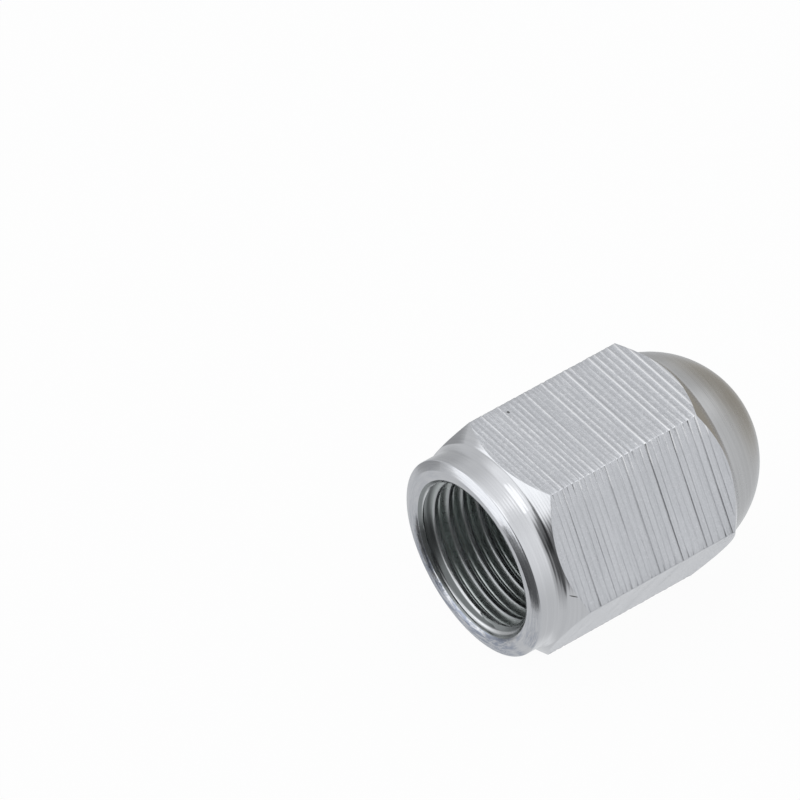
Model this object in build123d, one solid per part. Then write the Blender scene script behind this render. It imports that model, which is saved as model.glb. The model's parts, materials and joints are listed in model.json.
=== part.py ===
from build123d import *
import math
import os

# Tyre valve cap turned from hexagonal bar, in millimetres, lying on one of its flats.
# The thread axis runs along X. The mouth faces -X, the dome points to +X and +Z is up.
# The origin is the centre of the mouth plane, and x below is the distance from that plane.

# Bar stock and whole part
across_flats = 10.0
cap_length = 15.0
corner_round = 0.08          # long edges of the drawn bar

# Collar and flare at the mouth end
collar_radius = 4.8
rim_face_radius = 4.37       # the flat mouth face ends here
rim_bevel = 0.19             # depth along X of the shallow bevel from there to the collar
rim_edge_round = 0.06
flare_end = 2.18             # where the flare reaches the bar's corners
flare_slope = 0.8            # distance along X for each millimetre of radius
flare_fillet = 0.35          # hollow between collar and flare

# Dome end
dome_radius = 4.88
dome_edge_radius = 4.72      # circle where the dome starts
chamfer_slope = 1.0          # the chamfer behind the dome is cut at 45 degrees

# Blind bore, left at the tapping size of its 8V1 thread, 32 turns to the inch
tapped_radius = 3.45
lip_radius = 3.87            # countersink at the mouth
thread_end = 7.0
relief_radius = 3.95         # groove behind the thread, where the washer sits
relief_end = 8.6
drill_point_radius = 1.4
drill_point_angle = 118

# Rubber sealing washer, snapped past the thread and seated on the bore's end
washer_radius = 3.9
washer_hole_radius = 1.5
washer_thickness = 1.2
washer_round = 0.12

corner_radius = across_flats / math.sqrt(3)
collar_end = flare_end - flare_slope * (corner_radius - collar_radius)
dome_centre = cap_length - dome_radius
dome_start = dome_centre + math.sqrt(dome_radius**2 - dome_edge_radius**2)
turning_radius = corner_radius + 1.0     # the lathe clears the bar's corners by this circle
flare_top = collar_end + flare_slope * (turning_radius - collar_radius)
chamfer_top = dome_start - chamfer_slope * (turning_radius - dome_edge_radius)


def nearest_corner(face, x, radius):
    return face.vertices().sort_by_distance((x, radius))[0]


def turned_outline():
    """Half section of the outside, as the lathe leaves it: bevelled rim, collar, flare, chamfer and dome."""
    dome_middle = math.asin(dome_edge_radius / dome_radius) / 2
    on_dome = (dome_centre + dome_radius * math.cos(dome_middle), dome_radius * math.sin(dome_middle))
    flanks = Polyline(
        (cap_length, 0),
        (0, 0),
        (0, rim_face_radius),
        (rim_bevel, collar_radius),
        (collar_end, collar_radius),
        (flare_top, turning_radius),
        (chamfer_top, turning_radius),
        (dome_start, dome_edge_radius),
    )
    dome = ThreePointArc((dome_start, dome_edge_radius), on_dome, (cap_length, 0))
    face = make_face(flanks + dome)
    face = fillet(nearest_corner(face, rim_bevel, collar_radius), rim_edge_round)
    return fillet(nearest_corner(face, collar_end, collar_radius), flare_fillet)


def bore_outline():
    """Half section of the blind bore: countersink, tapped length, relief, flat seat and drill point."""
    countersink_depth = lip_radius - tapped_radius
    point_depth = drill_point_radius / math.tan(math.radians(drill_point_angle / 2))
    return make_face(
        Polyline(
            (0, 0),
            (0, lip_radius),
            (countersink_depth, tapped_radius),
            (thread_end, tapped_radius),
            (thread_end, relief_radius),
            (relief_end, relief_radius),
            (relief_end, drill_point_radius),
            (relief_end + point_depth, 0),
            close=True,
        )
    )


def hexagonal_bar():
    """Drawn bar with two flats level and its long edges slightly rounded."""
    section = RegularPolygon(radius=corner_radius, side_count=6)
    section = fillet(section.vertices(), corner_round)
    return extrude(Plane.YZ * section, cap_length)


def cap_body():
    """The bar, turned at both ends and bored: each cone leaves a scalloped edge on every flat."""
    turned = revolve(turned_outline(), Axis.X)
    bore = revolve(bore_outline(), Axis.X)
    return hexagonal_bar() & turned - bore


def sealing_washer():
    """Flat rubber ring against the bore's seat, with softened edges."""
    seat_side = relief_end
    ring = make_face(
        Polyline(
            (seat_side - washer_thickness, washer_hole_radius),
            (seat_side - washer_thickness, washer_radius),
            (seat_side, washer_radius),
            (seat_side, washer_hole_radius),
            close=True,
        )
    )
    ring = fillet(ring.vertices(), washer_round)
    return revolve(ring, Axis.X)


os.makedirs("parts", exist_ok=True)
export_step(cap_body(), "parts/cap_body.step")
export_step(sealing_washer(), "parts/sealing_washer.step")
print(f"dome starts {dome_start:.3f} mm from the mouth, bar corners {2 * corner_radius:.3f} mm across")
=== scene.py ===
import json
import math
import bpy
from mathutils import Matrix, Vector

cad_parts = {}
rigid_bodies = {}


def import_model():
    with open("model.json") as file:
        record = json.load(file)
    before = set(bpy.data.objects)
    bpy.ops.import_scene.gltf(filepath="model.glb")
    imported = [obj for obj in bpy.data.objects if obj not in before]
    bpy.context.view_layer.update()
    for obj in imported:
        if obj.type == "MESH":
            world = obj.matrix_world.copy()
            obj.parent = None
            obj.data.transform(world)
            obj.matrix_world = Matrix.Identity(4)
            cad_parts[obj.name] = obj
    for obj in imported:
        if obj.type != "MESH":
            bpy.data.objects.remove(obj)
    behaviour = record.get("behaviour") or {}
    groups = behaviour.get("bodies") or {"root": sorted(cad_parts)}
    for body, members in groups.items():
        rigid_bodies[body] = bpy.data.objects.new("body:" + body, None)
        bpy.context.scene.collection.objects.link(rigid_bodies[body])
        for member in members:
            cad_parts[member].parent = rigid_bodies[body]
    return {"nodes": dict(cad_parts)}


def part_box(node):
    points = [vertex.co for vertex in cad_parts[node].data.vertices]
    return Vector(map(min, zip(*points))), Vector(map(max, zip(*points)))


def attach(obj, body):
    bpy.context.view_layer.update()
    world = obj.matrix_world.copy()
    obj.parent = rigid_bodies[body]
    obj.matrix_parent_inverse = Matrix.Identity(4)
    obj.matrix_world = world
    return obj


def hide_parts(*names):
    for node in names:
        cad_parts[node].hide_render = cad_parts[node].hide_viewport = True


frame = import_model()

print("frame loaded")
mm = 0.001
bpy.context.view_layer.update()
capLow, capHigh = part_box("cap_body")
capLength = capHigh.x / mm
halfFlats = capHigh.z / mm

# Millimetres, x counted from the mouth plane along the thread's axis
capShape = {
    "lipRadius": 3.87,
    "lipDepth": 0.10,
    "dishRadius": 4.25,       # the mouth's face dips inwards from here
    "rimFaceRadius": 4.37,
    "rimBevel": 0.19,
    "rimEdgeRound": 0.06,
    "edgeWidth": 0.02,        # band that shades over from face to bevel
    "edgeShare": 0.4,         # share of its depth in its middle
    "collarRadius": 4.8,
    "flareEnd": 2.18,
    "flareSlope": 0.8,
    "hollowStart": 1.15,      # the collar ends here with a crisp edge
    "hollowLean": 16,         # degrees
    "flareFootRadius": 4.96,  # the hollow runs out into the flare here
    "cornerRound": 0.08,
    "chamferSlope": 1.0,
    "domeRadius": 4.88,
    "domeEdgeRadius": 4.72,
}

# The tool's feed marks: fine ridges right round the hexagon, a little further apart towards the dome
feedMarks = {
    "firstRidge": 2.85,
    "feed": 0.285,
    "feedGrowth": 0.0087,     # mm more for each mm along x
    "wander": 0.07,
    "wanderDensity": 0.9,     # noise cells a mm
    "ridgeRoom": 0.026,       # the flats lie this much below the bar's size, and no ridge rises above it
    "ridgeHeight": 0.0138,
    "ridgeRise": 0.24,        # share of the feed in which a ridge rises; it falls over the rest
    "ownLeast": 0.15,         # a weak ridge's share of the height, and what chance adds to it
    "ownSpan": 0.3,
    "patchStep": 3.7,         # noise cells from one ridge to the next
    "patchTurns": 3.2,        # noise cells a radian
    "weakPatch": (0.25, 0.6),     # noise levels between which ridges come up
    "strongPatch": (0.1, 0.4),
    "strongShown": 0.9,
    "wave": 0.005,
    "nickDepth": 0.02,
    "nickDensity": 5.2,
    "nickTurns": 9.0,
    "nickPatch": (0.5, 0.7),
    "nickReach": (1.3, 0.2),  # degrees from a corner
    "seed": 11.0,
    "strongRidges": {
        -3: 0.3, 0: 0.45, 3: 0.3, 8: 0.25, 11: 0.6, 12: 0.3, 15: 1.0, 16: 0.3, 19: 0.7, 20: 0.4,
        22: 0.5, 23: 0.9, 25: 0.5,
    },
}

halfMilled = halfFlats - feedMarks["ridgeRoom"]
cornerRadius = halfMilled / math.cos(math.radians(30))

boreShape = {
    "pitch": 25.4 / 32,
    "crestRadius": 3.45,
    "rootRadius": 3.84,
    "crestHalfWidth": 0.13,      # shares of the pitch
    "rootHalfWidth": 0.07,
    "firstCrest": 0.02,
    "crestRounding": 0.25,       # shares of a flank's height
    "rootRounding": 0.5,
    "threadEnd": 7.0,
    "reliefRadius": 3.95,
    "reliefEnd": 8.6,
    "drillPointRadius": 1.4,
    "drillPointAngle": 118,
}

meshSteps = {
    "flatColumns": 17,
    "cornerTurns": (-0.42, -0.2, 0.0, 0.2, 0.42),     # degrees each side of a corner
    "flatRows": 340,
    "flankSteps": (0.05, 0.09, 0.12, 0.15, 0.18, 0.24, 0.30, 0.35, 0.39, 0.42, 0.45),
    "straightGap": 0.05,      # mm from the deepest scallop to the first straight row
    "dishRows": 8,
    "edgeRows": 4,
    "collarRows": 10,
    "hollowRows": 10,
    "flareRows": 12,
    "bendRows": 12,
    "chamferRows": 8,
    "domeRows": 52,
    "reliefRows": 4,
    "seatRows": 6,
    "pointRows": 4,
    "mergeReach": 0.0004,     # mm
    "sharpTurn": 24,          # degrees
}

zone = {"turned": 0, "flare": 1, "flat": 2, "chamfer": 3, "thread": 4}
finish = {"mill": 0, "turned": 1, "dome": 2, "bore": 3}


# Node helpers
def wire(tree, value, socket):
    if isinstance(value, bpy.types.NodeSocket):
        tree.links.new(value, socket)
    else:
        socket.default_value = value


def addNode(tree, kind, values=None, **settings):
    node = tree.nodes.new(kind)
    for name, setting in settings.items():
        setattr(node, name, setting)
    for name, value in (values or {}).items():
        wire(tree, value, node.inputs[name])
    return node


def calc(tree, operation, *values):
    node = tree.nodes.new("ShaderNodeMath")
    node.operation = operation
    for value, socket in zip(values, node.inputs):
        wire(tree, value, socket)
    return node.outputs[0]


def plus(tree, first, second):
    return calc(tree, "ADD", first, second)


def minus(tree, first, second):
    return calc(tree, "SUBTRACT", first, second)


def times(tree, first, second):
    return calc(tree, "MULTIPLY", first, second)


def between(tree, value, low, high):
    # 0 below low, 1 above high, smooth in between
    values = {"Value": value, "From Min": low, "From Max": high}
    return addNode(tree, "ShaderNodeMapRange", values, interpolation_type="SMOOTHSTEP").outputs[0]


def blendValues(tree, share, first, second):
    return calc(tree, "MULTIPLY_ADD", share, minus(tree, second, first), first)


def joinVector(tree, x, y, z):
    return addNode(tree, "ShaderNodeCombineXYZ", {"X": x, "Y": y, "Z": z}).outputs[0]


def vectorCalc(tree, operation, *values):
    return addNode(tree, "ShaderNodeVectorMath", dict(enumerate(values)), operation=operation)


def noiseLine(tree, place, detail):
    # noise along one line, about 0.5 in the middle
    values = {"W": place, "Scale": 1.0, "Detail": detail}
    return addNode(tree, "ShaderNodeTexNoise", values, noise_dimensions="1D").outputs[0]


def noiseAt(tree, x, y, z, detail, roughness=0.5):
    values = {"Vector": joinVector(tree, x, y, z), "Scale": 1.0, "Detail": detail, "Roughness": roughness}
    return addNode(tree, "ShaderNodeTexNoise", values).outputs[0]


def addSocket(tree, name, direction, kind="Float", default=None):
    socket = tree.interface.new_socket(name, in_out=direction, socket_type="NodeSocket" + kind)
    if default is not None:
        socket.default_value = default
    return socket


# The cap's grid: rows along the turned profile, columns round the axis
def arcRows(centreX, centreR, radius, start, end, count):
    # points on an arc, angles in degrees from +X towards growing radius, without the first one
    turns = [math.radians(start + (end - start) * i / count) for i in range(1, count + 1)]
    return [(centreX + radius * math.cos(t), centreR + radius * math.sin(t)) for t in turns]


def spread(start, end, count):
    return [start + (end - start) * i / count for i in range(count + 1)]


def flareX(radius):
    return capShape["flareEnd"] - capShape["flareSlope"] * (cornerRadius - radius)


def hollowRows():
    # a curve from the collar's end, bent where its first slope meets the flare
    shape = capShape
    start = Vector((shape["hollowStart"], shape["collarRadius"]))
    foot = Vector((flareX(shape["flareFootRadius"]), shape["flareFootRadius"]))
    slope = math.tan(math.radians(shape["hollowLean"]))
    bendRise = slope * (flareX(start.y) - start.x) / (1 - slope * shape["flareSlope"])
    bend = Vector((flareX(start.y + bendRise), start.y + bendRise))
    shares = spread(0, 1, meshSteps["hollowRows"])[1:]
    points = [start.lerp(bend, share).lerp(bend.lerp(foot, share), share) for share in shares]
    return [(point.x, point.y) for point in points]


def domeStart():
    shape = capShape
    reach = math.sqrt(shape["domeRadius"] ** 2 - shape["domeEdgeRadius"] ** 2)
    return capLength - shape["domeRadius"] + reach


def rimRows():
    # dished face from the lip outwards, then the bevel and its softened edge
    shape = capShape
    dish = shape["dishRadius"] - shape["lipRadius"]
    points = [
        (shape["lipDepth"] * ((shape["dishRadius"] - r) / dish) ** 2, r)
        for r in spread(shape["lipRadius"], shape["dishRadius"], meshSteps["dishRows"])
    ]
    face, bevel, edge = shape["rimFaceRadius"], shape["rimBevel"], shape["edgeWidth"]
    rise = shape["collarRadius"] - face
    lean = math.atan(bevel / rise)
    edgeDepth = bevel / rise * edge
    points += [(0.0, face - edge), (edgeDepth * shape["edgeShare"], face), (edgeDepth, face + edge)]
    rounding = shape["rimEdgeRound"]
    tangent = rounding * math.tan((math.pi / 2 - lean) / 2)
    start = 180 - math.degrees(lean)
    centre = (bevel + tangent, shape["collarRadius"] - rounding)
    points.append((centre[0] - rounding * math.cos(lean), centre[1] + rounding * math.sin(lean)))
    return points + arcRows(*centre, rounding, start, 90, meshSteps["edgeRows"])


def outsideRows():
    # x, radius, zone, along, pull to the mouth's scallops, pull to the dome's, finish of the next band
    shape = capShape
    steps = meshSteps
    turned = zone["turned"]
    rows = []
    for x, r in rimRows():
        rows.append((x, r, turned, 0, 0, 0, finish["turned"]))
    for x in spread(rows[-1][0], shape["hollowStart"], steps["collarRows"])[1:]:
        rows.append((x, shape["collarRadius"], turned, 0, 0, 0, finish["turned"]))
    for x, r in hollowRows():
        rows.append((x, r, turned, 0, 0, 0, finish["turned"]))
    for along in spread(0, 1, steps["flareRows"])[1:-1]:
        rows.append((0, cornerRadius, zone["flare"], along, 0, 0, finish["turned"]))
    straightStart = shape["flareEnd"] + steps["straightGap"]
    chamferEnd = domeStart() - shape["chamferSlope"] * (cornerRadius - shape["domeEdgeRadius"])
    straightEnd = chamferEnd - steps["straightGap"]
    for pull in spread(1, 0, steps["bendRows"])[:-1]:
        rows.append((straightStart, cornerRadius, zone["flat"], 0, pull, 0, finish["mill"]))
    for x in spread(straightStart, straightEnd, steps["flatRows"]):
        rows.append((x, cornerRadius, zone["flat"], 0, 0, 0, finish["mill"]))
    for pull in spread(0, 1, steps["bendRows"])[1:]:
        rows.append((straightEnd, cornerRadius, zone["flat"], 0, 0, pull, finish["mill"]))
    rows[-1] = rows[-1][:-1] + (finish["turned"],)
    for along in spread(0, 1, steps["chamferRows"])[1:-1]:
        rows.append((0, cornerRadius, zone["chamfer"], along, 0, 0, finish["turned"]))
    rows.append((domeStart(), shape["domeEdgeRadius"], turned, 0, 0, 0, finish["dome"]))
    edgeTurn = math.degrees(math.asin(shape["domeEdgeRadius"] / shape["domeRadius"]))
    centre = capLength - shape["domeRadius"]
    for x, r in arcRows(centre, 0, shape["domeRadius"], edgeTurn, 0, steps["domeRows"]):
        rows.append((x, max(r, 0), turned, 0, 0, 0, finish["dome"]))
    return rows


def boreEndRows():
    shape = boreShape
    steps = meshSteps
    relief, seat, tip = shape["reliefRadius"], shape["reliefEnd"], shape["drillPointRadius"]
    pointDepth = tip / math.tan(math.radians(shape["drillPointAngle"] / 2))
    points = [(x, relief) for x in spread(shape["threadEnd"], seat, steps["reliefRows"])]
    points += [(seat, r) for r in spread(relief, tip, steps["seatRows"])[1:]]
    points += [(seat + pointDepth * s, tip * (1 - s)) for s in spread(0, 1, steps["pointRows"])[1:]]
    return [(x, r, zone["turned"], 0, 0, 0, finish["bore"]) for x, r in points]


def ridgeStrength(x):
    # strength of the ridge that x belongs to, from the same growing feed as in the node tree
    feeds = (x - feedMarks["firstRidge"]) / feedMarks["feed"]
    count = feeds - feeds ** 2 * feedMarks["feedGrowth"] / 2
    started = feedMarks["ridgeRise"] + feedMarks["wander"] / feedMarks["feed"] / 2
    return feedMarks["strongRidges"].get(math.floor(count + started), 0)


def threadPhases():
    # shares of one pitch from the middle of a crest, closest where the thread bends
    flank = list(meshSteps["flankSteps"])
    return [0.0] + flank + [0.5] + [1 - share for share in reversed(flank)]


def columnTurns():
    turns = []
    for corner in range(6):
        turns += [60 * corner + turn for turn in meshSteps["cornerTurns"]]
        edge = meshSteps["cornerTurns"][-1]
        turns += spread(60 * corner + edge, 60 * corner + 60 - edge, meshSteps["flatColumns"])[1:-1]
    return sorted(math.radians(turn % 360) for turn in turns)


def capGrid():
    turns = columnTurns()
    count = len(turns)
    points, faces, finishes = [], [], []
    values = {name: [] for name in ("zone", "turn", "along", "pullMouth", "pullDome", "strength")}

    def addPoint(x, r, turn, zoneCode, along, pullMouth, pullDome, strength):
        points.append((x * mm, r * mm * math.cos(turn), r * mm * math.sin(turn)))
        for name, value in zip(values, (zoneCode, turn, along, pullMouth, pullDome, strength)):
            values[name].append(value)

    def addRows(rows, facesOut):
        start = len(points)
        for x, r, code, along, pullMouth, pullDome, _ in rows:
            strength = ridgeStrength(x) if code == zone["flat"] else 0
            for turn in turns:
                addPoint(x, r, turn, code, along, pullMouth, pullDome, strength)
        for i in range(len(rows) - 1):
            for j in range(count):
                a, b = start + i * count + j, start + i * count + (j + 1) % count
                quad = (a, a + count, b + count, b) if facesOut else (a, b, b + count, a + count)
                faces.append(quad)
                finishes.append(rows[i][-1])

    addRows(outsideRows(), False)
    addRows(boreEndRows(), True)

    # thread rows climb one pitch in a turn, so the last column joins the first one a pitch further on
    phases = threadPhases()
    perTurn = len(phases)
    wholeTurns = math.ceil(boreShape["threadEnd"] / boreShape["pitch"]) + 2
    climbs = [number + phase for number in range(-1, wholeTurns) for phase in phases]
    start = len(points)
    for climb in climbs:
        for turn in turns:
            addPoint(0, boreShape["crestRadius"], turn, zone["thread"], climb, 0, 0, 0)
    for i in range(len(climbs) - 1):
        for j in range(count):
            step = perTurn if j == count - 1 else 0
            if i + 1 + step >= len(climbs):
                continue
            a = start + i * count + j
            b = start + (i + step) * count + (j + 1) % count
            faces.append((a, a + count, b + count, b))
            finishes.append(finish["bore"])

    mesh = bpy.data.meshes.new("capGrid")
    mesh.from_pydata(points, [], faces)
    for name, column in values.items():
        mesh.attributes.new(name, "FLOAT", "POINT").data.foreach_set("value", column)
    mesh.attributes.new("finish", "FLOAT", "FACE").data.foreach_set("value", finishes)
    return mesh


# Geometry Nodes: the bar's flats are milled into the turned blank, and the thread is cut in the bore
def namedAttribute(tree, name):
    return addNode(tree, "GeometryNodeInputNamedAttribute", {"Name": name}, data_type="FLOAT").outputs[0]


def hexRadius(tree, turn, ports):
    sixth = math.radians(60)
    half = ports["Half Flats"]
    rounding = ports["Corner Round"]
    nearest = calc(tree, "ROUND", calc(tree, "DIVIDE", turn, sixth))
    fromCorner = calc(tree, "ABSOLUTE", calc(tree, "MULTIPLY_ADD", nearest, -sixth, turn))
    flat = calc(tree, "DIVIDE", half, calc(tree, "COSINE", minus(tree, sixth / 2, fromCorner)))
    centre = calc(tree, "DIVIDE", minus(tree, half, rounding), math.cos(sixth / 2))
    across = times(tree, centre, calc(tree, "SINE", fromCorner))
    inside = minus(tree, calc(tree, "POWER", rounding, 2), calc(tree, "POWER", across, 2))
    reach = calc(tree, "SQRT", calc(tree, "MAXIMUM", inside, 0))
    arc = calc(tree, "MULTIPLY_ADD", centre, calc(tree, "COSINE", fromCorner), reach)
    contact = times(tree, minus(tree, half, rounding), math.tan(sixth / 2))
    contact = calc(tree, "DIVIDE", contact, half)
    contactTurn = minus(tree, sixth / 2, calc(tree, "ARCTANGENT", contact))
    onArc = calc(tree, "LESS_THAN", fromCorner, contactTurn)
    return blendValues(tree, onArc, flat, arc), fromCorner


def millRelief(tree, x, turn, fromCorner, ports):
    # height above the milled flat, less the nicks where ridges cross the corners
    marks = feedMarks
    place = calc(tree, "MULTIPLY_ADD", x, marks["wanderDensity"] / mm, ports["Seed"])
    wander = times(tree, minus(tree, noiseLine(tree, place, 1.0), 0.5), ports["Wander"])
    run = minus(tree, plus(tree, x, wander), ports["First Ridge"])
    feeds = calc(tree, "DIVIDE", run, ports["Feed"])
    halfGrowth = times(tree, ports["Feed Growth"], 0.5)
    bend = times(tree, times(tree, feeds, feeds), halfGrowth)
    count = minus(tree, feeds, bend)
    started = plus(tree, count, ports["Ridge Rise"])
    number = calc(tree, "FLOOR", started)
    phase = calc(tree, "FRACT", started)
    rise = between(tree, phase, 0.0, ports["Ridge Rise"])
    profile = times(tree, rise, between(tree, phase, 1.0, ports["Ridge Rise"]))

    seeded = plus(tree, number, ports["Seed"])
    draw = addNode(tree, "ShaderNodeTexWhiteNoise", {"W": seeded}, noise_dimensions="1D").outputs[0]
    step = times(tree, number, marks["patchStep"])
    patch = noiseAt(tree, step, times(tree, turn, marks["patchTurns"]), ports["Seed"], 2.0)
    strong = namedAttribute(tree, "strength")
    own = calc(tree, "MULTIPLY_ADD", draw, marks["ownSpan"], marks["ownLeast"])
    own = times(tree, own, between(tree, patch, *marks["weakPatch"]))
    strongHere = times(tree, strong, between(tree, patch, *marks["strongPatch"]))
    height = times(tree, profile, plus(tree, own, strongHere))
    wave = calc(tree, "MULTIPLY_ADD", calc(tree, "COSINE", times(tree, count, math.tau)), 0.5, 0.5)
    waved = times(tree, ports["Wave"], wave)
    raised = calc(tree, "MULTIPLY_ADD", ports["Ridge Height"], height, waved)
    raised = calc(tree, "MINIMUM", raised, ports["Ridge Room"])

    aroundTurn = times(tree, turn, marks["nickTurns"])
    nicks = noiseLine(tree, calc(tree, "MULTIPLY_ADD", x, marks["nickDensity"] / mm, aroundTurn), 2.0)
    outer, inner = marks["nickReach"]
    nearCorner = between(tree, fromCorner, math.radians(outer), math.radians(inner))
    nick = times(tree, between(tree, nicks, *marks["nickPatch"]), nearCorner)
    nick = times(tree, nick, ports["Nick Depth"])
    ridge = plus(tree, own, times(tree, strong, marks["strongShown"]))
    return minus(tree, raised, nick), count, ridge


def millBar(tree, attribute, ports):
    # x and radius of the rows that meet the hexagon
    def onFlare(radius):
        above = minus(tree, radius, ports["Flare Foot Radius"])
        return calc(tree, "MULTIPLY_ADD", above, ports["Flare Slope"], ports["Flare Foot X"])

    def onChamfer(radius):
        above = minus(tree, radius, ports["Dome Edge Radius"])
        fromDome = times(tree, above, ports["Chamfer Slope"])
        return minus(tree, ports["Dome Start X"], fromDome)

    turn, along, straight = attribute["turn"], attribute["along"], attribute["x"]
    radius, fromCorner = hexRadius(tree, turn, ports)
    flareR = blendValues(tree, along, ports["Flare Foot Radius"], radius)
    chamferR = blendValues(tree, along, radius, ports["Dome Edge Radius"])
    flatX = blendValues(tree, attribute["pullMouth"], straight, onFlare(radius))
    toDome = minus(tree, onChamfer(radius), straight)
    flatX = calc(tree, "MULTIPLY_ADD", attribute["pullDome"], toDome, flatX)
    relief, feedCount, ridge = millRelief(tree, flatX, turn, fromCorner, ports)
    atEdge = calc(tree, "MAXIMUM", attribute["pullMouth"], attribute["pullDome"])
    relief = times(tree, relief, between(tree, atEdge, 1.0, 0.7))
    milled = {
        "flare": (onFlare(flareR), flareR),
        "flat": (flatX, plus(tree, radius, relief)),
        "chamfer": (onChamfer(chamferR), chamferR),
    }
    return milled, feedCount, ridge


def cutThread(tree, attribute, ports):
    # the row climbs with the turn, held between the mouth's lip and the relief
    climb = plus(tree, attribute["along"], calc(tree, "DIVIDE", attribute["turn"], math.tau))
    freeX = calc(tree, "MULTIPLY_ADD", climb, ports["Pitch"], ports["First Crest"])
    x = calc(tree, "MINIMUM", calc(tree, "MAXIMUM", freeX, ports["Lip Depth"]), ports["Thread End"])
    fromCrest = calc(tree, "PINGPONG", attribute["along"], 0.5)
    crest = ports["Crest Half Width"]
    flankWidth = minus(tree, minus(tree, 0.5, ports["Root Half Width"]), crest)
    depth = calc(tree, "DIVIDE", minus(tree, fromCrest, crest), flankWidth)
    depth = calc(tree, "SMOOTH_MIN", depth, 1.0, ports["Root Rounding"])
    depth = calc(tree, "SMOOTH_MAX", depth, 0.0, ports["Crest Rounding"])
    tooth = blendValues(tree, depth, ports["Crest Radius"], ports["Root Radius"])
    countersink = minus(tree, plus(tree, ports["Lip Radius"], ports["Lip Depth"]), x)
    radius = calc(tree, "MAXIMUM", tooth, countersink)
    atEnd = calc(tree, "GREATER_THAN", freeX, ports["Thread End"])
    countersunk = calc(tree, "LESS_THAN", tooth, countersink)
    radius = blendValues(tree, atEnd, radius, ports["Relief Radius"])
    return x, radius, calc(tree, "MAXIMUM", depth, countersunk)


def socketName(key):
    return "".join(" " + letter if letter.isupper() else letter for letter in key).title()


def treeSizes():
    # values of the node tree's inputs, lengths in metres and the rest as they are
    lengths = (
        (capShape, ("cornerRound", "flareFootRadius", "domeEdgeRadius", "lipRadius", "lipDepth")),
        (feedMarks, ("firstRidge", "feed", "wander", "ridgeRoom", "ridgeHeight", "wave", "nickDepth")),
        (boreShape, ("pitch", "firstCrest", "threadEnd", "crestRadius", "rootRadius", "reliefRadius")),
    )
    shares = (
        (capShape, ("flareSlope", "chamferSlope")),
        (feedMarks, ("feedGrowth", "ridgeRise", "seed")),
        (boreShape, ("crestHalfWidth", "rootHalfWidth", "crestRounding", "rootRounding")),
    )
    sizes = {
        "Half Flats": halfMilled * mm,
        "Flare Foot X": flareX(capShape["flareFootRadius"]) * mm,
        "Dome Start X": domeStart() * mm,
    }
    for unit, groups in ((mm, lengths), (1, shares)):
        for shape, keys in groups:
            sizes.update({socketName(key): shape[key] * unit for key in keys})
    return sizes


def capTree(materials):
    tree = bpy.data.node_groups.new("turnedHexagonCap", "GeometryNodeTree")
    addSocket(tree, "Geometry", "OUTPUT", "Geometry")
    addSocket(tree, "Geometry", "INPUT", "Geometry")
    sizes = treeSizes()
    identifiers = {name: addSocket(tree, name, "INPUT").identifier for name in sizes}
    entry = tree.nodes.new("NodeGroupInput")
    ports = {name: entry.outputs[name] for name in sizes}

    names = ("zone", "turn", "along", "pullMouth", "pullDome", "finish")
    attribute = {name: namedAttribute(tree, name) for name in names}
    position = tree.nodes.new("GeometryNodeInputPosition").outputs[0]
    place = addNode(tree, "ShaderNodeSeparateXYZ", {"Vector": position})
    attribute["x"] = place.outputs[0]
    x = attribute["x"]
    radius = calc(
        tree, "SQRT",
        plus(tree, calc(tree, "POWER", place.outputs[1], 2), calc(tree, "POWER", place.outputs[2], 2)),
    )
    milled, feedCount, ridge = millBar(tree, attribute, ports)
    threadX, threadR, threadDepth = cutThread(tree, attribute, ports)
    milled["thread"] = (threadX, threadR)
    for name, (zoneX, zoneR) in milled.items():
        here = calc(tree, "COMPARE", attribute["zone"], zone[name], 0.5)
        x = blendValues(tree, here, x, zoneX)
        radius = blendValues(tree, here, radius, zoneR)
    y = times(tree, radius, calc(tree, "COSINE", attribute["turn"]))
    z = times(tree, radius, calc(tree, "SINE", attribute["turn"]))
    geometry = entry.outputs["Geometry"]
    onFlat = calc(tree, "COMPARE", attribute["zone"], zone["flat"], 0.5)
    inThread = calc(tree, "COMPARE", attribute["zone"], zone["thread"], 0.5)
    stored = {
        "feedCount": times(tree, feedCount, onFlat),
        "ridge": times(tree, ridge, onFlat),
        "threadDepth": times(tree, threadDepth, inThread),
    }
    for name, value in stored.items():
        keep = addNode(
            tree, "GeometryNodeStoreNamedAttribute", {"Geometry": geometry, "Name": name, "Value": value},
            data_type="FLOAT", domain="POINT",
        )
        geometry = keep.outputs[0]
    geometry = addNode(
        tree, "GeometryNodeSetPosition", {"Geometry": geometry, "Position": joinVector(tree, x, y, z)}
    ).outputs[0]
    geometry = addNode(
        tree, "GeometryNodeMergeByDistance", {"Geometry": geometry, "Distance": meshSteps["mergeReach"] * mm}
    ).outputs[0]
    values = {"Geometry": geometry, "Shade Smooth": True}
    geometry = addNode(tree, "GeometryNodeSetShadeSmooth", values).outputs[0]
    edgeTurn = tree.nodes.new("GeometryNodeInputMeshEdgeAngle").outputs[0]
    sharpTurn = math.radians(meshSteps["sharpTurn"])
    sharp = addNode(tree, "FunctionNodeCompare", {0: edgeTurn, 1: sharpTurn}, operation="GREATER_THAN")
    geometry = addNode(
        tree, "GeometryNodeSetShadeSmooth",
        {"Geometry": geometry, "Selection": sharp.outputs[0], "Shade Smooth": False}, domain="EDGE",
    ).outputs[0]
    geometry = addNode(tree, "GeometryNodeRealizeInstances", {"Geometry": geometry}).outputs[0]
    for name, material in materials.items():
        here = addNode(
            tree, "FunctionNodeCompare", {0: attribute["finish"], 1: float(finish[name]), "Epsilon": 0.5},
            operation="EQUAL",
        )
        geometry = addNode(
            tree, "GeometryNodeSetMaterial",
            {"Geometry": geometry, "Selection": here.outputs[0], "Material": material},
        ).outputs[0]
    leave = tree.nodes.new("NodeGroupOutput")
    tree.links.new(geometry, leave.inputs[0])
    return tree, sizes, identifiers


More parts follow.
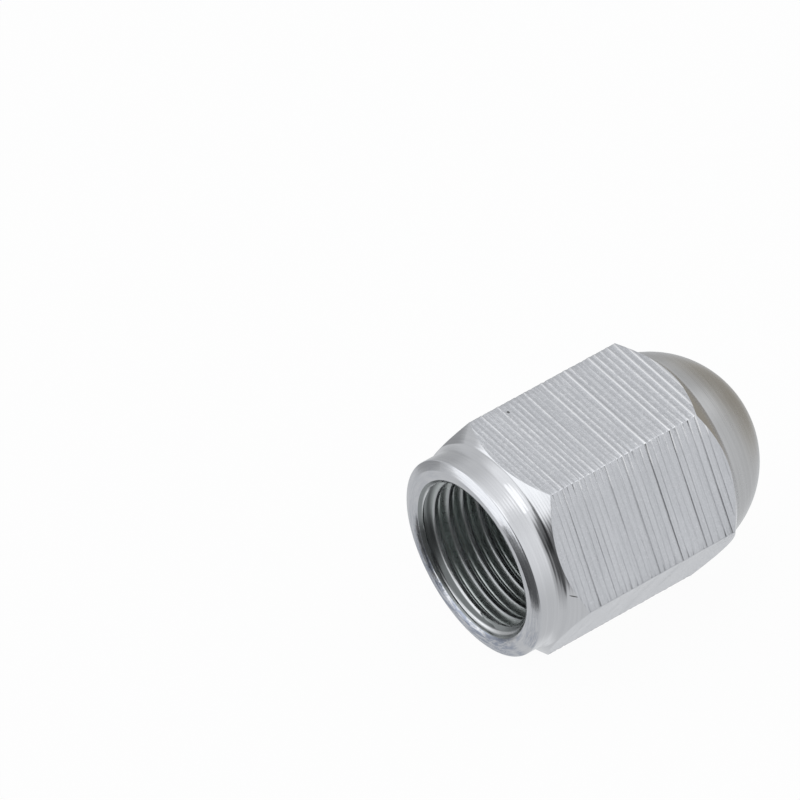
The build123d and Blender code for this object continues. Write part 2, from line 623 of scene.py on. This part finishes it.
def makeCap(materials):
    cap = bpy.data.objects.new("capShell", capGrid())
    bpy.context.scene.collection.objects.link(cap)
    modifier = cap.modifiers.new("turnedHexagonCap", "NODES")
    tree, sizes, identifiers = capTree(materials)
    modifier.node_group = tree
    for name, size in sizes.items():
        modifier[identifiers[name]] = size
    bpy.context.view_layer.update()
    evaluated = cap.evaluated_get(bpy.context.evaluated_depsgraph_get())
    mesh = bpy.data.meshes.new_from_object(evaluated)
    cap.modifiers.remove(modifier)
    cap.data = mesh
    mesh.name = "capShell"
    triangles = sum(len(face.vertices) - 2 for face in mesh.polygons)
    print("cap body:", len(mesh.vertices), "points,", triangles, "triangles")
    return cap


# Marks of the cutter and the lathe: densities in noise cells a mm, edges between two noise levels
millLook = {
    "flatStep": 5.7,           # sets the noise of the flats apart
    "fineAcross": 0.16,
    "bandsAlong": 1.1,
    "bandsAcross": 0.25,
    "bandsStep": 9.0,
    "grainAlong": 9,
    "grainAcross": 8,
    "grainEdge": (0.46, 0.74),
    "dotsEachRidge": 2.3,
    "dotsAcross": 5,
    "dotEdge": (0.38, 0.56),
    "wholeRidge": (0.5, 0.9),  # ridges this strong aren't broken into dots
    "upperFlat": (3.9, 4.6),   # mm up, where only the uppermost flat is
    "grainHeight": 0.25,
    "fineHeight": 0.7,
    "crestHeight": 0.16,
    "crestWidth": 2.4,         # of the crest's rise
}

turnLook = {
    "drift": 0.45,
    "unevenDensity": 0.9,      # noise cells a ring
    "evenLeast": 0.1,          # least share of even rings, and what the cloud adds
    "evenSpan": 0.5,
    "cloudDensity": 0.9,
    "scuffsAlong": 20,
    "scuffsRound": 5,
    "scuffEdge": (0.36, 0.6),
    "patchDensity": 0.55,
    "patchEdge": (0.25, 0.45),
}


# Shader groups
def scaled(tree, factor, *values):
    return [times(tree, value, factor) for value in values]


def inMillimetres(tree, vector):
    place = addNode(tree, "ShaderNodeSeparateXYZ", {"Vector": vector})
    return scaled(tree, 1 / mm, *place.outputs)


def linkResults(tree, leave, results):
    for name, result in results.items():
        tree.links.new(result, leave.inputs[name])


def groupTree(name, inputs, outputs):
    tree = bpy.data.node_groups.new(name, "ShaderNodeTree")
    for label, kind, default in inputs:
        addSocket(tree, label, "INPUT", kind, default)
    for label, kind in outputs:
        addSocket(tree, label, "OUTPUT", kind)
    return tree, tree.nodes.new("NodeGroupInput"), tree.nodes.new("NodeGroupOutput")


def millMarksGroup():
    # fine lines and grain on the flats, from the object's own place, with a painted highlight on the crests
    # and painted sparkle in the grain on the uppermost flat
    tree, entry, leave = groupTree(
        "millMarks",
        [
            ("Vector", "Vector", None), ("Feed Count", "Float", 0.0), ("Ridge", "Float", 0.0),
            ("Crest Rise", "Float", 0.13), ("Line Density", "Float", 7.0), ("Seed", "Float", 3.0),
        ],
        [("Height", "Float"), ("Bands", "Float"), ("Grain And Painted Sparkle", "Float"), ("Crest", "Float")],
    )
    look = millLook
    x, y, z = inMillimetres(tree, entry.outputs["Vector"])
    sixth = math.radians(60)
    flat = calc(tree, "FLOOR", calc(tree, "DIVIDE", calc(tree, "ARCTAN2", z, y), sixth))
    facing = times(tree, plus(tree, flat, 0.5), sixth)
    across = calc(
        tree, "SUBTRACT", times(tree, z, calc(tree, "COSINE", facing)),
        times(tree, y, calc(tree, "SINE", facing)),
    )
    seeded = calc(tree, "MULTIPLY_ADD", flat, look["flatStep"], entry.outputs["Seed"])
    lines = times(tree, x, entry.outputs["Line Density"])
    fine = noiseAt(tree, lines, seeded, times(tree, across, look["fineAcross"]), 4, 0.65)
    bands = noiseAt(
        tree, times(tree, x, look["bandsAlong"]), plus(tree, seeded, look["bandsStep"]),
        times(tree, across, look["bandsAcross"]), 2,
    )
    grain = noiseAt(
        tree, times(tree, x, look["grainAlong"]),
        times(tree, across, look["grainAcross"]), seeded, 3, 0.8,
    )

    # the crests are crisp lines, broken into dots on the flat that lies uppermost; on that flat alone their
    # colour is painted near white, a painted highlight
    count, ridge, crestRise = (entry.outputs[name] for name in ("Feed Count", "Ridge", "Crest Rise"))
    phase = calc(tree, "FRACT", plus(tree, count, crestRise))
    rise = between(tree, phase, 0.0, crestRise)
    fall = between(tree, phase, 1.0, crestRise)
    dots = noiseAt(
        tree, times(tree, count, look["dotsEachRidge"]),
        times(tree, across, look["dotsAcross"]), seeded, 3, 0.7,
    )
    uppermost = between(tree, z, *look["upperFlat"])
    whole = between(tree, ridge, *look["wholeRidge"])
    whole = calc(tree, "MAXIMUM", whole, minus(tree, 1, uppermost))
    whole = calc(tree, "MAXIMUM", between(tree, dots, *look["dotEdge"]), whole)
    crest = times(tree, times(tree, rise, fall), times(tree, ridge, whole))
    height = times(tree, fine, look["fineHeight"])
    height = calc(tree, "MULTIPLY_ADD", grain, look["grainHeight"], height)
    height = calc(tree, "MULTIPLY_ADD", crest, look["crestHeight"], height)
    lineEnd = times(tree, crestRise, look["crestWidth"])
    line = times(tree, rise, between(tree, phase, lineEnd, crestRise))
    paintedHighlightUpper = times(tree, whole, uppermost)
    # the grain counts twice as much on the uppermost flat: painted sparkle there
    paintedSparkleUpper = calc(tree, "MULTIPLY_ADD", uppermost, 0.5, 0.5)
    linkResults(tree, leave, {
        "Height": height,
        "Bands": bands,
        "Grain And Painted Sparkle": times(tree, between(tree, grain, *look["grainEdge"]), paintedSparkleUpper),
        "Crest": times(tree, times(tree, line, ridge), paintedHighlightUpper),
    })
    return tree


def turningMarksGroup():
    # rings left by the lathe, counted along x and the radius
    tree, entry, leave = groupTree(
        "turningMarks",
        [
            ("Vector", "Vector", None), ("Along X", "Float", 1.0), ("Along Radius", "Float", 1.0),
            ("Rings Each Mm", "Float", 11.0), ("Seed", "Float", 1.0),
        ],
        [("Height", "Float"), ("Rings", "Float"), ("Cloud", "Float"), ("Scuffs", "Float")],
    )
    look = turnLook
    x, y, z = inMillimetres(tree, entry.outputs["Vector"])
    radius = calc(tree, "SQRT", plus(tree, calc(tree, "POWER", y, 2), calc(tree, "POWER", z, 2)))
    outwards = times(tree, radius, entry.outputs["Along Radius"])
    run = calc(tree, "MULTIPLY_ADD", x, entry.outputs["Along X"], outwards)
    turn = calc(tree, "ARCTAN2", z, y)
    cosine, sine = calc(tree, "COSINE", turn), calc(tree, "SINE", turn)
    drift = times(tree, cosine, look["drift"])
    seeded = calc(tree, "MULTIPLY_ADD", sine, look["drift"], entry.outputs["Seed"])
    count = times(tree, run, entry.outputs["Rings Each Mm"])
    uneven = noiseAt(tree, times(tree, count, look["unevenDensity"]), drift, seeded, 3, 0.65)
    even = calc(tree, "MULTIPLY_ADD", calc(tree, "SINE", times(tree, count, math.tau)), 0.5, 0.5)
    cloud = noiseAt(tree, *scaled(tree, look["cloudDensity"], x, y, z), 4)
    share = calc(tree, "MULTIPLY_ADD", cloud, look["evenSpan"], look["evenLeast"])

    # short scratches along the turn, in patches
    along = times(tree, run, look["scuffsAlong"])
    scuffs = noiseAt(tree, along, *scaled(tree, look["scuffsRound"], cosine, sine), 4, 0.75)
    patches = noiseAt(tree, *scaled(tree, look["patchDensity"], y, z), seeded, 2)
    scuffs = between(tree, scuffs, *look["scuffEdge"])
    linkResults(tree, leave, {
        "Height": blendValues(tree, share, uneven, even),
        "Rings": uneven,
        "Cloud": cloud,
        "Scuffs": times(tree, scuffs, between(tree, patches, *look["patchEdge"])),
    })
    return tree


def nickSpotGroup():
    # 1 inside a small oval about a point, 0 outside it
    tree, entry, leave = groupTree(
        "nickSpot", [("Vector", "Vector", None), ("Middle", "Vector", None), ("Reach", "Vector", None)],
        [("Mask", "Float")],
    )
    away = vectorCalc(tree, "SUBTRACT", entry.outputs["Vector"], entry.outputs["Middle"]).outputs[0]
    shares = vectorCalc(tree, "DIVIDE", away, entry.outputs["Reach"]).outputs[0]
    distance = vectorCalc(tree, "LENGTH", shares).outputs["Value"]
    linkResults(tree, leave, {"Mask": between(tree, distance, 1.1, 0.7)})
    return tree


def objectPlace(tree):
    return tree.nodes.new("ShaderNodeTexCoord").outputs["Object"]


def ownAttribute(tree, name):
    return addNode(tree, "ShaderNodeAttribute", attribute_name=name).outputs["Fac"]


def bandAlong(tree, x, rise, fall):
    # 1 along a stretch that x enters over rise and leaves over fall
    return times(tree, between(tree, x, *rise), between(tree, x, *fall))


def placeGroup(tree, group, values):
    node = tree.nodes.new("ShaderNodeGroup")
    node.node_tree = group
    tree.links.new(objectPlace(tree), node.inputs["Vector"])
    for name, value in values.items():
        wire(tree, value, node.inputs[name])
    return node


def colourBetween(tree, share, first, second):
    node = tree.nodes.new("ShaderNodeMix")
    node.data_type = "RGBA"
    wire(tree, share, node.inputs[0])
    for colour, socket in ((first, node.inputs[6]), (second, node.inputs[7])):
        wire(tree, colour if isinstance(colour, bpy.types.NodeSocket) else (*colour, 1), socket)
    return node.outputs[2]


def metal(name, anisotropy):
    # the finest marks run round the axis, so reflections are drawn out along it
    material = bpy.data.materials.new(name)
    material.use_nodes = True
    tree = material.node_tree
    shader = tree.nodes["Principled BSDF"]
    shader.inputs["Metallic"].default_value = 1.0
    shader.inputs["Anisotropic"].default_value = anisotropy
    shader.inputs["Anisotropic Rotation"].default_value = 0.25
    tangent = addNode(tree, "ShaderNodeTangent", direction_type="RADIAL", axis="X")
    tree.links.new(tangent.outputs[0], shader.inputs["Tangent"])
    return material, tree, shader


def addBump(tree, shader, height, distance):
    bump = addNode(tree, "ShaderNodeBump", {"Height": height, "Distance": distance, "Strength": 1.0})
    tree.links.new(bump.outputs[0], shader.inputs["Normal"])


def addRoughness(tree, shader, share, look):
    roughness = calc(tree, "MULTIPLY_ADD", share, look["roughSpan"], look["roughLeast"])
    tree.links.new(roughness, shader.inputs["Roughness"])


def addNick(tree, spots, look, shade):
    values = {
        "Middle": tuple(size * mm for size in look["nickMiddle"]),
        "Reach": tuple(size * mm for size in look["nickReach"]),
    }
    nick = placeGroup(tree, spots, values)
    return colourBetween(tree, nick.outputs["Mask"], shade, look["nick"])


def milledMetal(group, spots):
    look = {
        "dark": (0.63, 0.64, 0.665), "light": (0.92, 0.925, 0.95), "speckled": 0.6, "banded": 0.5,
        "crest": (0.99, 0.99, 1.0), "paintedHighlightShare": 3.0, "roughLeast": 0.2, "roughSpan": 0.16,
        "bump": 0.024 * mm, "nick": (0.2, 0.2, 0.2), "nickMiddle": (3.92, 2.32, 4.97),
        "nickReach": (0.07, 0.09, 0.2),
    }
    material, tree, shader = metal("milledAluminium", 0.5)
    values = {
        "Feed Count": ownAttribute(tree, "feedCount"), "Ridge": ownAttribute(tree, "ridge"),
        "Crest Rise": 0.13, "Line Density": 7.0, "Seed": 3.0,
    }
    marks = placeGroup(tree, group, values)
    # the speckle in the colour is real grain, painted twice as strong on the uppermost flat as sparkle
    speckle = marks.outputs["Grain And Painted Sparkle"]
    bands = times(tree, marks.outputs["Bands"], look["banded"])
    tone = calc(tree, "MULTIPLY_ADD", speckle, look["speckled"], bands)
    ground = colourBetween(tree, tone, look["dark"], look["light"])
    # the uppermost flat's crests are painted near white: a painted highlight
    crest = times(tree, marks.outputs["Crest"], look["paintedHighlightShare"])
    shade = colourBetween(tree, crest, ground, look["crest"])
    tree.links.new(addNick(tree, spots, look, shade), shader.inputs["Base Color"])
    addRoughness(tree, shader, speckle, look)
    addBump(tree, shader, marks.outputs["Height"], look["bump"])
    return material


def turnedMetal(group, spots):
    # rings are deepest about the hollow, and the rim has scuffs; their dark blue-grey colour, strongest on
    # the rim's lower side, is partly real scuffing and partly painted shade
    look = {
        "dark": (0.70, 0.705, 0.725), "light": (0.86, 0.865, 0.88), "roughLeast": 0.08, "roughSpan": 0.1,
        "bump": 0.012 * mm, "ringHeight": 0.14, "hollowRings": 0.2, "hollowRise": (0.6, 1.1),
        "hollowFall": (1.9, 1.4), "scuffAndPaintedShade": (0.35, 0.39, 0.48), "scuffShare": 0.9, "scuffHeight": 0.35,
        "rimEnd": (0.35, 0.1), "paintedShadeLowSide": (0.5, -3.0), "highShare": 0.2,
        "nick": (0.2, 0.2, 0.2), "nickMiddle": (1.74, -5.13, 0.8), "nickReach": (0.15, 0.4, 0.04),
    }
    material, tree, shader = metal("turnedAluminium", 0.45)
    marks = placeGroup(tree, group, {"Along X": 1.0, "Along Radius": 0.6, "Rings Each Mm": 6.5, "Seed": 5.0})
    x, _, z = inMillimetres(tree, objectPlace(tree))
    aboutHollow = bandAlong(tree, x, look["hollowRise"], look["hollowFall"])
    # the scuffs count more towards the lower side: painted shade
    paintedShadeLowSide = blendValues(tree, between(tree, z, *look["paintedShadeLowSide"]), look["highShare"], 1)
    onRim = times(tree, marks.outputs["Scuffs"], between(tree, x, *look["rimEnd"]))
    scuffs = times(tree, onRim, paintedShadeLowSide)
    ground = colourBetween(tree, marks.outputs["Rings"], look["dark"], look["light"])
    # the scuff colour, darker and bluer than the metal, is partly painted shade
    shade = colourBetween(tree, times(tree, scuffs, look["scuffShare"]), ground, look["scuffAndPaintedShade"])
    tree.links.new(addNick(tree, spots, look, shade), shader.inputs["Base Color"])
    addRoughness(tree, shader, marks.outputs["Cloud"], look)
    ringHeight = calc(tree, "MULTIPLY_ADD", aboutHollow, look["hollowRings"], look["ringHeight"])
    rings = times(tree, marks.outputs["Height"], ringHeight)
    addBump(tree, shader, calc(tree, "MULTIPLY_ADD", scuffs, look["scuffHeight"], rings), look["bump"])
    return material


def domeMetal(group):
    look = {
        "dark": (0.59, 0.59, 0.59), "light": (0.81, 0.81, 0.81), "roughLeast": 0.2, "roughSpan": 0.12,
        "bump": 0.004 * mm,
    }
    material, tree, shader = metal("satinDome", 0.6)
    marks = placeGroup(tree, group, {"Along X": 1.0, "Along Radius": -1.0, "Rings Each Mm": 6.5, "Seed": 8.0})
    shade = colourBetween(tree, marks.outputs["Rings"], look["dark"], look["light"])
    tree.links.new(shade, shader.inputs["Base Color"])
    addRoughness(tree, shader, marks.outputs["Cloud"], look)
    addBump(tree, shader, marks.outputs["Height"], look["bump"])
    return material


def boreMetal(group):
    # the first turn is painted dark, its flanks darkest, as painted shade, but for its crest, painted bright
    # as a painted highlight; a painted bright line, a painted highlight, runs round the lip, and further in
    # the crests are painted darker than the grooves as painted shade
    look = {
        "groove": (0.66, 0.70, 0.685), "crest": (0.52, 0.53, 0.54), "crestEdge": (0.3, 0.02),
        "entry": (0.36, 0.38, 0.38), "paintedFlankShade": (0.15, 0.16, 0.16), "flankEdge": (0.5, 0.2),
        "paintedCrestHighlight": (0.88, 0.89, 0.90), "entryCrestEdge": (0.3, 0.05), "entryEnd": (0.75, 0.55),
        "lineRise": (0.21, 0.27), "lineFall": (0.36, 0.30), "roughLeast": 0.2, "roughSpan": 0.12,
        "bump": 0.004 * mm,
    }
    material, tree, shader = metal("threadedBore", 0.3)
    marks = placeGroup(tree, group, {"Along X": 1.0, "Along Radius": 1.0, "Rings Each Mm": 8.0, "Seed": 2.0})
    depth = ownAttribute(tree, "threadDepth")
    x = inMillimetres(tree, objectPlace(tree))[0]
    # crests painted darker than the grooves: painted shade
    shade = colourBetween(tree, between(tree, depth, *look["crestEdge"]), look["groove"], look["crest"])
    # near the mouth: painted shade on the first turn, darkest on its flanks, and a painted highlight on its
    # crest
    fromMiddle = calc(tree, "ABSOLUTE", minus(tree, depth, 0.5))
    onFlank = between(tree, fromMiddle, *look["flankEdge"])
    paintedMouthShade = colourBetween(tree, onFlank, look["entry"], look["paintedFlankShade"])
    onCrest = between(tree, depth, *look["entryCrestEdge"])
    paintedMouthShade = colourBetween(tree, onCrest, paintedMouthShade, look["paintedCrestHighlight"])
    shade = colourBetween(tree, between(tree, x, *look["entryEnd"]), shade, paintedMouthShade)
    # a painted highlight line round the lip
    paintedLipLine = bandAlong(tree, x, look["lineRise"], look["lineFall"])
    shade = colourBetween(tree, paintedLipLine, shade, look["paintedCrestHighlight"])
    tree.links.new(shade, shader.inputs["Base Color"])
    addRoughness(tree, shader, marks.outputs["Cloud"], look)
    addBump(tree, shader, marks.outputs["Height"], look["bump"])
    return material


def washerRubber():
    look = {
        "dark": (0.018, 0.018, 0.019), "light": (0.035, 0.035, 0.037), "grain": 2500.0, "roughLeast": 0.6,
        "roughSpan": 0.2, "bump": 0.004 * mm,
    }
    material = bpy.data.materials.new("washerRubber")
    material.use_nodes = True
    tree = material.node_tree
    shader = tree.nodes["Principled BSDF"]
    values = {"Vector": objectPlace(tree), "Scale": look["grain"], "Detail": 4.0}
    mottle = addNode(tree, "ShaderNodeTexNoise", values).outputs[0]
    tree.links.new(colourBetween(tree, mottle, look["dark"], look["light"]), shader.inputs["Base Color"])
    addRoughness(tree, shader, mottle, look)
    addBump(tree, shader, mottle, look["bump"])
    return material


# Pieces
millMarks = millMarksGroup()
turningMarks = turningMarksGroup()
nickSpot = nickSpotGroup()
capMaterials = {
    "mill": milledMetal(millMarks, nickSpot),
    "turned": turnedMetal(turningMarks, nickSpot),
    "dome": domeMetal(turningMarks),
    "bore": boreMetal(turningMarks),
}
capShell = makeCap(capMaterials)
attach(capShell, "root")
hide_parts("cap_body")

washer = frame["nodes"]["sealing_washer"]
washer.data.materials.clear()
washer.data.materials.append(washerRubber())
print("pieces made")


# Studio: a pale tent with a broad soft light overhead and a bright wall beyond the mouth.
# A glow or shade is an oval: azimuth from +X towards +Y, elevation, half width and half height in
# degrees, softness, and the level that a glow adds or the share that a shade leaves.
studio = {
    "floorHalf": 0.5,
    "floorGap": 0.00002,
    "floorWhite": 0.96,
    "floorColour": (0.9, 0.9, 0.9, 1),
    "floorRoughness": 0.9,
    "floorGloss": 0.1,
    "tent": 0.60,
    "tentColour": (0.965, 0.98, 1.0),
    "glows": {
        "overhead": (135, 82, 38, 38, 0.35, 0.35),
        "front": (290, 28, 27, 34, 0.6, 0.26),
        "wall": (158, 5, 31, 27, 0.15, 0.6),
        "below": (36, -57, 18, 18, 0.6, 0.12),
        "behind": (358, 32, 14, 12, 0.5, 0.16),
    },
    "shades": {
        "cameraSide": (228, 4, 38, 36, 0.12, 0.22),
        "camera": (228, 36, 40, 20, 0.25, 0.32),
        "cameraStand": (256, 6, 32, 40, 0.35, 0.6),
        "beyondRim": (178, -24, 18, 17, 0.1, 0.18),
        "belowWall": (162, -32, 10, 6, 0.2, 0.25),
        "besideWall": (108, -20, 17, 13, 0.3, 0.58),
        "behindDome": (19, -9, 23, 22, 0.5, 0.52),
        "aboveDome": (28, 24, 14, 12, 0.6, 0.88),
        "farSide": (62, -6, 16, 20, 0.6, 0.75),
    },
    "warmShade": "behindDome",
    "warmColour": (1.0, 0.93, 0.80),
    "lampTowards": (0.1, -0.1, 1.0),
    "lampDistance": 0.42,
    "lampSize": 0.3,
    "lampPower": 0.08,
}


def ovalShare(tree, direction, oval):
    # 1 inside the oval, 0 outside it and on the far side
    azimuth, elevation, width, height, soft, _ = oval
    turn, rise = math.radians(azimuth), math.radians(elevation)
    middle = Vector((math.cos(rise) * math.cos(turn), math.cos(rise) * math.sin(turn), math.sin(rise)))
    side = Vector((-math.sin(turn), math.cos(turn), 0))
    up = middle.cross(side)
    squares = []
    for axis, half in ((side, width), (up, height)):
        shift = vectorCalc(tree, "DOT_PRODUCT", direction, tuple(axis)).outputs["Value"]
        share = calc(tree, "DIVIDE", shift, math.sin(math.radians(half)))
        squares.append(calc(tree, "POWER", share, 2))
    away = calc(tree, "SQRT", plus(tree, *squares))
    ahead = vectorCalc(tree, "DOT_PRODUCT", direction, tuple(middle)).outputs["Value"]
    inside = between(tree, away, 1 + soft, 1 - soft)
    return times(tree, inside, calc(tree, "GREATER_THAN", ahead, 0))


def makeFloor():
    # the camera sees it white, with a trace of the cap's shadow, and the metal mirrors the tent's
    # lower half in place of it
    half = studio["floorHalf"]
    level = capLow.z - studio["floorGap"]
    corners = [(-half, -half, level), (half, -half, level), (half, half, level), (-half, half, level)]
    mesh = bpy.data.meshes.new("floor")
    mesh.from_pydata(corners, [], [(0, 1, 2, 3)])
    floor = bpy.data.objects.new("floor", mesh)
    bpy.context.scene.collection.objects.link(floor)
    material = bpy.data.materials.new("paleFloor")
    material.use_nodes = True
    tree = material.node_tree
    shader = tree.nodes["Principled BSDF"]
    shader.inputs["Base Color"].default_value = studio["floorColour"]
    shader.inputs["Roughness"].default_value = studio["floorRoughness"]
    shader.inputs["Specular IOR Level"].default_value = studio["floorGloss"]
    path = tree.nodes.new("ShaderNodeLightPath")
    white = addNode(tree, "ShaderNodeEmission", {"Strength": 1.0})
    seen = tree.nodes.new("ShaderNodeMixShader")
    whiteShare = times(tree, path.outputs["Is Camera Ray"], studio["floorWhite"])
    tree.links.new(whiteShare, seen.inputs[0])
    tree.links.new(shader.outputs[0], seen.inputs[1])
    tree.links.new(white.outputs[0], seen.inputs[2])
    mirrored = tree.nodes.new("ShaderNodeMixShader")
    gloss = plus(tree, path.outputs["Is Glossy Ray"], path.outputs["Is Transmission Ray"])
    tree.links.new(gloss, mirrored.inputs[0])
    tree.links.new(seen.outputs[0], mirrored.inputs[1])
    tree.links.new(tree.nodes.new("ShaderNodeBsdfTransparent").outputs[0], mirrored.inputs[2])
    tree.links.new(mirrored.outputs[0], tree.nodes["Material Output"].inputs["Surface"])
    mesh.materials.append(material)


def makeLight():
    lamp = bpy.data.lights.new("softBox", "AREA")
    lamp.shape = "DISK"
    lamp.size = studio["lampSize"]
    lamp.energy = studio["lampPower"]
    box = bpy.data.objects.new("softBox", lamp)
    bpy.context.scene.collection.objects.link(box)
    direction = Vector(studio["lampTowards"]).normalized()
    box.location = direction * studio["lampDistance"]
    box.rotation_euler = direction.to_track_quat("Z", "Y").to_euler()


def makeWorld():
    world = bpy.data.worlds.new("lightTent")
    bpy.context.scene.world = world
    world.use_nodes = True
    tree = world.node_tree
    tent = tree.nodes["Background"]
    generated = tree.nodes.new("ShaderNodeTexCoord").outputs["Generated"]
    direction = vectorCalc(tree, "NORMALIZE", generated).outputs[0]
    level = studio["tent"]
    for glow in studio["glows"].values():
        level = calc(tree, "MULTIPLY_ADD", ovalShare(tree, direction, glow), glow[-1], level)
    for name, shade in studio["shades"].items():
        share = ovalShare(tree, direction, shade)
        level = times(tree, level, blendValues(tree, share, 1.0, shade[-1]))
        if name == studio["warmShade"]:
            tint = colourBetween(tree, share, studio["tentColour"], studio["warmColour"])
            tree.links.new(tint, tent.inputs["Color"])
    tree.links.new(level, tent.inputs["Strength"])
    white = addNode(tree, "ShaderNodeBackground", {"Strength": 1.0})
    white.inputs["Color"].default_value = (1, 1, 1, 1)
    path = tree.nodes.new("ShaderNodeLightPath")
    mix = tree.nodes.new("ShaderNodeMixShader")
    tree.links.new(path.outputs["Is Camera Ray"], mix.inputs[0])
    tree.links.new(tent.outputs[0], mix.inputs[1])
    tree.links.new(white.outputs[0], mix.inputs[2])
    tree.links.new(mix.outputs[0], tree.nodes["World Output"].inputs["Surface"])


# Camera, with the cap where the picture has it: right of the middle and below it
cameraView = {
    "azimuth": -37.7,
    "elevation": 44.34,
    "distance": 0.45,
    "sensorWidth": 36,
    "clipStart": 0.01,
    "clipEnd": 5,
    "pictureWidth": 800,
    "pixelsPerMm": 22.63,
    "middleX": 6.3,
    "pixelsRight": 182.2,
    "pixelsDown": 98.7,
}


def makeCamera():
    view = cameraView
    turn, rise = math.radians(view["azimuth"]), math.radians(view["elevation"])
    back = Vector((math.sin(turn) * math.cos(rise), -math.cos(turn) * math.cos(rise), math.sin(rise)))
    right = Vector((math.cos(turn), math.sin(turn), 0))
    up = back.cross(right)
    shown = Vector((view["middleX"] * mm, 0, 0))
    aside = view["pixelsRight"] / view["pixelsPerMm"] * mm
    above = view["pixelsDown"] / view["pixelsPerMm"] * mm
    aim = shown - right * aside + up * above
    data = bpy.data.cameras.new("camera")
    data.sensor_width = view["sensorWidth"]
    data.lens = view["pixelsPerMm"] / mm * view["distance"] * view["sensorWidth"] / view["pictureWidth"]
    data.clip_start = view["clipStart"]
    data.clip_end = view["clipEnd"]
    camera = bpy.data.objects.new("camera", data)
    bpy.context.scene.collection.objects.link(camera)
    camera.location = aim + back * view["distance"]
    camera.rotation_euler = back.to_track_quat("Z", "Y").to_euler()
    bpy.context.scene.camera = camera


makeFloor()
makeLight()
makeWorld()
makeCamera()
bpy.context.scene.view_settings.view_transform = "Standard"
print("studio ready")
